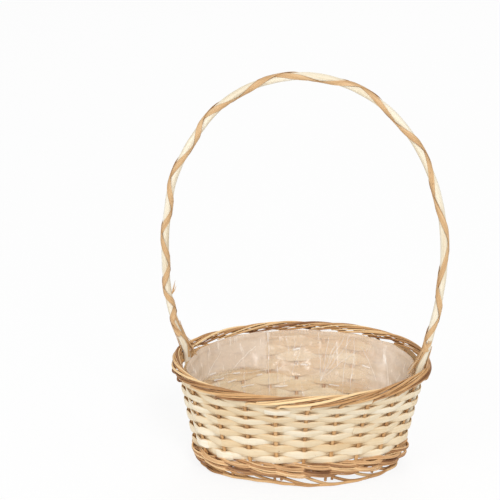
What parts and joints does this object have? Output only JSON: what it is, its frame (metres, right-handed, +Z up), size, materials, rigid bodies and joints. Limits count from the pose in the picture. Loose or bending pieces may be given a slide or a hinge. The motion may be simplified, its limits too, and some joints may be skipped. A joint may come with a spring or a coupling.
{
  "type": "gift basket",
  "caption": "Oval woven willow gift basket with a flaring wall, rolled border, open foot, tall hoop handle and a clear film liner; it stands on its foot and holds gifts or plants.",
  "frame": {"origin": "middle of the foot's underside, on the surface that the basket stands on", "axes": "+Z up, X along the basket's long side and the hoop, Y across it"},
  "size_m": [0.3321, 0.2408, 0.4806],
  "materials": {
    "willow_rod": "satin tan willow, thin darker bark skin along the rods",
    "brown_willow": "satin brown willow",
    "split_willow": "matt cream split willow with fine straight grain",
    "peeled_willow": "smooth cream peeled willow",
    "willow_skein": "satin tan willow skein",
    "clear_film": "clear crinkled film"
  },
  "bodies": {
    "root": {"stake_01": "willow_rod", "stake_02": "willow_rod", "stake_03": "willow_rod", "stake_04": "willow_rod", "stake_05": "willow_rod", "stake_06": "willow_rod", "stake_07": "willow_rod", "stake_08": "willow_rod", "stake_09": "willow_rod", "stake_10": "willow_rod", "stake_11": "willow_rod", "stake_12": "willow_rod", "stake_13": "willow_rod", "stake_14": "willow_rod", "stake_15": "willow_rod", "stake_16": "willow_rod", "stake_17": "willow_rod", "stake_18": "willow_rod", "stake_19": "willow_rod", "stake_20": "willow_rod", "wale_rod_01": "brown_willow", "wale_rod_02": "brown_willow", "wale_rod_03": "brown_willow", "wale_rod_04": "brown_willow", "wale_rod_05": "brown_willow", "wale_rod_06": "brown_willow", "weaving_strip_01": "split_willow", "weaving_strip_02": "split_willow", "weaving_strip_03": "split_willow", "weaving_strip_04": "split_willow", "weaving_strip_05": "split_willow", "weaving_strip_06": "split_willow", "weaving_strip_07": "split_willow", "weaving_strip_08": "split_willow", "weaving_strip_09": "split_willow", "weaving_strip_10": "split_willow", "weaving_strip_11": "split_willow", "handle_hoop": "peeled_willow", "handle_skein_inner": "willow_skein", "handle_skein_outer": "willow_skein", "base_stick_01": "willow_rod", "base_stick_02": "willow_rod", "base_stick_03": "willow_rod", "base_stick_04": "willow_rod", "base_stick_05": "willow_rod", "base_stick_06": "willow_rod", "base_stick_07": "willow_rod", "base_slat_01": "split_willow", "base_slat_02": "split_willow", "base_slat_03": "split_willow", "base_slat_04": "split_willow", "base_slat_05": "split_willow", "base_slat_06": "split_willow", "base_slat_07": "split_willow", "base_slat_08": "split_willow", "base_slat_09": "split_willow", "film_liner": "clear_film"}
  },
  "joints": []
}
